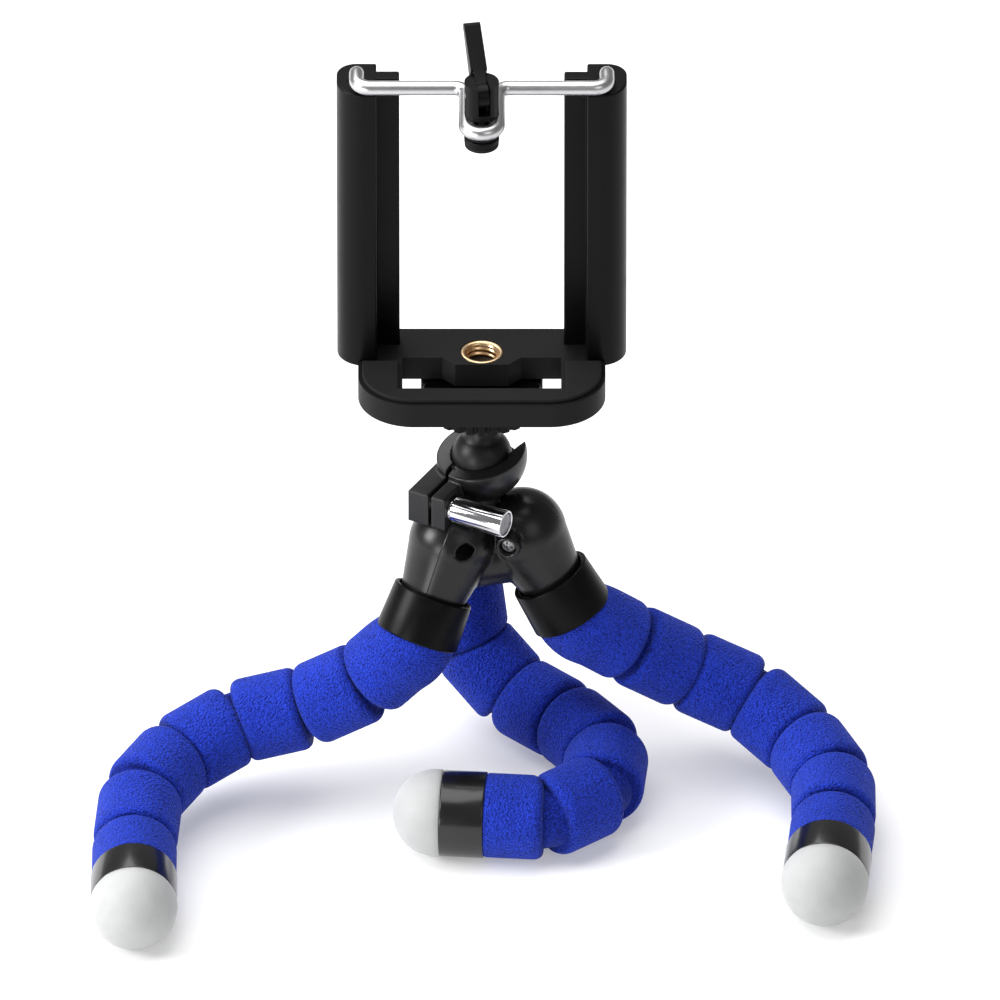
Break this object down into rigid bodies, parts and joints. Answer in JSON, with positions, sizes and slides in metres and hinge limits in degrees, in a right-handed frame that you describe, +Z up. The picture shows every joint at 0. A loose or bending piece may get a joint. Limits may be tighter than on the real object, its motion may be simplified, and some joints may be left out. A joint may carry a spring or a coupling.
{
  "type": "flexible leg tripod",
  "caption": "Small tripod with bendable grooved foam legs on a ball head, carrying a sprung wire clip with a cam lever that grips a phone between its padded base and press foot.",
  "frame": {"origin": "middle of the bounding box, on the floor", "axes": "+Z up from the floor, +X to the right seen from the front, -Y towards the front where the clip opens"},
  "size_m": [0.1686, 0.1096, 0.1919],
  "materials": {
    "black_plastic": "matte",
    "satin_plastic": "satin",
    "foam": "fine grained foam",
    "milky_rubber": "milky, smooth",
    "rubber": "matte",
    "chrome": "polished",
    "brass": "satin",
    "dark_metal": "glossy dark",
    "steel": "plain",
    "nylon": "matte"
  },
  "bodies": {
    "hub": {"hub_front_shell": "satin_plastic", "hub_rear_shell": "satin_plastic", "hub_screws": "steel", "socket_collar": "black_plastic", "collar_nut": "steel", "left_cup": "satin_plastic", "right_cup": "satin_plastic", "rear_cup": "satin_plastic", "left_core": "steel", "right_core": "steel", "rear_core": "steel"},
    "washer": {"clamp_washer": "chrome"},
    "screw": {"clamp_screw": "chrome"},
    "seat": {"ball_seat": "nylon"},
    "stud": {"ball_stud": "dark_metal"},
    "wheel": {"lock_wheel": "black_plastic"},
    "clip": {"clip_base": "black_plastic", "thread_insert": "brass", "grip_pad": "rubber", "left_rail": "satin_plastic", "right_rail": "satin_plastic", "left_spring": "steel", "right_spring": "steel"},
    "bail": {"bail": "chrome", "bail_retainers": "steel"},
    "bush": {"press_bush": "black_plastic", "lever_pin": "steel"},
    "lever": {"cam_lever": "black_plastic"},
    "foot": {"press_foot": "black_plastic", "foot_pad": "rubber"},
    "left_link_1": {"left_foam_1": "foam"},
    "left_link_2": {"left_foam_2": "foam"},
    "left_link_3": {"left_foam_3": "foam"},
    "left_link_4": {"left_foam_4": "foam"},
    "left_link_5": {"left_foam_5": "foam"},
    "left_link_6": {"left_foam_6": "foam"},
    "left_link_7": {"left_foam_7": "foam", "left_ring": "satin_plastic", "left_tip": "milky_rubber"},
    "right_link_1": {"right_foam_1": "foam"},
    "right_link_2": {"right_foam_2": "foam"},
    "right_link_3": {"right_foam_3": "foam"},
    "right_link_4": {"right_foam_4": "foam"},
    "right_link_5": {"right_foam_5": "foam"},
    "right_link_6": {"right_foam_6": "foam"},
    "right_link_7": {"right_foam_7": "foam", "right_ring": "satin_plastic", "right_tip": "milky_rubber"},
    "rear_link_1": {"rear_foam_1": "foam"},
    "rear_link_2": {"rear_foam_2": "foam"},
    "rear_link_3": {"rear_foam_3": "foam"},
    "rear_link_4": {"rear_foam_4": "foam"},
    "rear_link_5": {"rear_foam_5": "foam"},
    "rear_link_6": {"rear_foam_6": "foam"},
    "rear_link_7": {"rear_foam_7": "foam", "rear_ring": "satin_plastic", "rear_tip": "milky_rubber"}
  },
  "joints": [
    {"name": "clamp_slide", "type": "slide", "parent": "hub", "child": "washer", "axis": [0.8746, -0.4848, 0], "range_m": [0, 0.001]},
    {"name": "clamp_turn", "type": "hinge", "parent": "washer", "child": "screw", "pos_m": [-0.0067, 0.01523, 0.07156], "axis": [0.8746, -0.4848, 0], "range_deg": [0, 720]},
    {"name": "ball_pan", "type": "hinge", "parent": "hub", "child": "seat", "pos_m": [-0.0004, 0.0266, 0.07786], "axis": [0, 0, 1], "continuous": true},
    {"name": "ball_tilt", "type": "hinge", "parent": "seat", "child": "stud", "pos_m": [-0.0004, 0.0266, 0.07786], "axis": [1, 0, 0], "range_deg": [-25, 25]},
    {"name": "wheel_turn", "type": "hinge", "parent": "stud", "child": "wheel", "pos_m": [-0.0004, 0.0266, 0.09526], "axis": [0, 0, 1], "continuous": true},
    {"name": "clip_turn", "type": "hinge", "parent": "stud", "child": "clip", "pos_m": [-0.0004, 0.0266, 0.10426], "axis": [0, 0, 1], "continuous": true},
    {"name": "bail_slide", "type": "slide", "parent": "clip", "child": "bail", "axis": [0, 0, 1], "range_m": [0, 0.02], "stiffness_N_per_m": 250, "springref_m": -0.012, "deforming": ["left_spring", "right_spring"]},
    {"name": "bush_turn", "type": "hinge", "parent": "bail", "child": "bush", "pos_m": [-0.0004, 0.0078, 0.18166], "axis": [0, 0, 1], "continuous": true},
    {"name": "lever_flip", "type": "hinge", "parent": "bush", "child": "lever", "pos_m": [-0.0004, 0.0078, 0.18166], "axis": [0.9848, 0.1736, 0], "range_deg": [0, 70]},
    {"name": "foot_slide", "type": "slide", "parent": "bush", "child": "foot", "axis": [0, 0, -1], "range_m": [0, 0.00075]},
    {"name": "left_bend_1", "type": "hinge", "parent": "hub", "child": "left_link_1", "pos_m": [-0.01447, 0.01203, 0.04037], "axis": [0.5956, 0.6287, -0.5], "range_deg": [-31, 6], "deforming": ["left_core"]},
    {"name": "left_bend_2", "type": "hinge", "parent": "left_link_1", "child": "left_link_2", "pos_m": [-0.02491, 0.01295, 0.02909], "axis": [0.0872, 0.9962, 0], "range_deg": [-17, 6], "deforming": ["left_core"]},
    {"name": "left_bend_3", "type": "hinge", "parent": "left_link_2", "child": "left_link_3", "pos_m": [-0.03819, 0.01411, 0.02139], "axis": [-0.0722, 0.9603, 0.2696], "range_deg": [-15, 6], "deforming": ["left_core"]},
    {"name": "left_bend_4", "type": "hinge", "parent": "left_link_3", "child": "left_link_4", "pos_m": [-0.05307, 0.01411, 0.0174], "axis": [-0.2582, -0.0692, 0.9636], "range_deg": [-28, 6], "deforming": ["left_core"]},
    {"name": "left_bend_5", "type": "hinge", "parent": "left_link_4", "child": "left_link_5", "pos_m": [-0.06595, 0.00667, 0.01342], "axis": [-0.3504, 0.1083, 0.9303], "range_deg": [-31, 6], "deforming": ["left_core"]},
    {"name": "left_bend_6", "type": "hinge", "parent": "left_link_5", "child": "left_link_6", "pos_m": [-0.07362, -0.00662, 0.01207], "axis": [0.1506, -0.1851, 0.9711], "range_deg": [-25, 6], "deforming": ["left_core"]},
    {"name": "left_bend_7", "type": "hinge", "parent": "left_link_6", "child": "left_link_7", "pos_m": [-0.07494, -0.02172, 0.0094], "axis": [-0.8965, 0, 0.4431], "range_deg": [-11, 6], "deforming": ["left_core"]},
    {"name": "right_bend_1", "type": "hinge", "parent": "hub", "child": "right_link_1", "pos_m": [0.01925, 0.0217, 0.04037], "axis": [0.402, -0.8487, 0.3437], "range_deg": [-10, 6], "deforming": ["right_core"]},
    {"name": "right_bend_2", "type": "hinge", "parent": "right_link_1", "child": "right_link_2", "pos_m": [0.03154, 0.02387, 0.03135], "axis": [0.5991, -0.0806, 0.7966], "range_deg": [-4, 6], "deforming": ["right_core"]},
    {"name": "right_bend_3", "type": "hinge", "parent": "right_link_2", "child": "right_link_3", "pos_m": [0.04372, 0.02713, 0.02252], "axis": [-0.3955, -0.5379, -0.7445], "range_deg": [-19, 6], "deforming": ["right_core"]},
    {"name": "right_bend_4", "type": "hinge", "parent": "right_link_3", "child": "right_link_4", "pos_m": [0.05763, 0.02592, 0.01601], "axis": [-0.4233, 0.0085, -0.9059], "range_deg": [-32, 6], "deforming": ["right_core"]},
    {"name": "right_bend_5", "type": "hinge", "parent": "right_link_4", "child": "right_link_5", "pos_m": [0.06871, 0.01662, 0.01074], "axis": [-0.5356, -0.1699, -0.8272], "range_deg": [-28, 6], "deforming": ["right_core"]},
    {"name": "right_bend_6", "type": "hinge", "parent": "right_link_5", "child": "right_link_6", "pos_m": [0.0752, 0.00271, 0.0094], "axis": [-0.2027, 0, -0.9792], "range_deg": [-25, 6], "deforming": ["right_core"]},
    {"name": "right_bend_7", "type": "hinge", "parent": "right_link_6", "child": "right_link_7", "pos_m": [0.0752, -0.01269, 0.0094], "axis": [0, 0, -1], "range_deg": [-5, 6], "deforming": ["right_core"]},
    {"name": "rear_bend_1", "type": "hinge", "parent": "hub", "child": "rear_link_1", "pos_m": [-0.00598, 0.04607, 0.04037], "axis": [-0.9207, -0.3845, -0.0669], "range_deg": [-39, 3], "deforming": ["rear_core"]},
    {"name": "rear_bend_2", "type": "hinge", "parent": "rear_link_1", "child": "rear_link_2", "pos_m": [-0.00335, 0.04344, 0.0193], "axis": [-0.4602, -0.8862, 0.0531], "range_deg": [-40, 3], "deforming": ["rear_core"]},
    {"name": "rear_bend_3", "type": "hinge", "parent": "rear_link_2", "child": "rear_link_3", "pos_m": [0.00686, 0.03754, 0.0094], "axis": [-0.6757, -0.6757, -0.2947], "range_deg": [-42, 3], "deforming": ["rear_core"]},
    {"name": "rear_bend_4", "type": "hinge", "parent": "rear_link_3", "child": "rear_link_4", "pos_m": [0.01775, 0.02665, 0.0094], "axis": [0, 0, -1], "range_deg": [-10, 3], "deforming": ["rear_core"]},
    {"name": "rear_bend_5", "type": "hinge", "parent": "rear_link_4", "child": "rear_link_5", "pos_m": [0.02659, 0.01404, 0.0094], "axis": [0, 0, -1], "range_deg": [-40, 3], "deforming": ["rear_core"]},
    {"name": "rear_bend_6", "type": "hinge", "parent": "rear_link_5", "child": "rear_link_6", "pos_m": [0.02524, -0.00131, 0.0094], "axis": [0, 0, -1], "range_deg": [-45, 3], "deforming": ["rear_core"]},
    {"name": "rear_bend_7", "type": "hinge", "parent": "rear_link_6", "child": "rear_link_7", "pos_m": [0.01345, -0.0112, 0.0094], "axis": [0, 0, -1], "range_deg": [-45, 3], "deforming": ["rear_core"]}
  ],
  "couplings": [
    {"joint": "clamp_turn", "follows": "clamp_slide", "rad_per_m": 12566},
    {"joint": "lever_flip", "follows": "foot_slide", "rad_per_m": 1625.2}
  ]
}
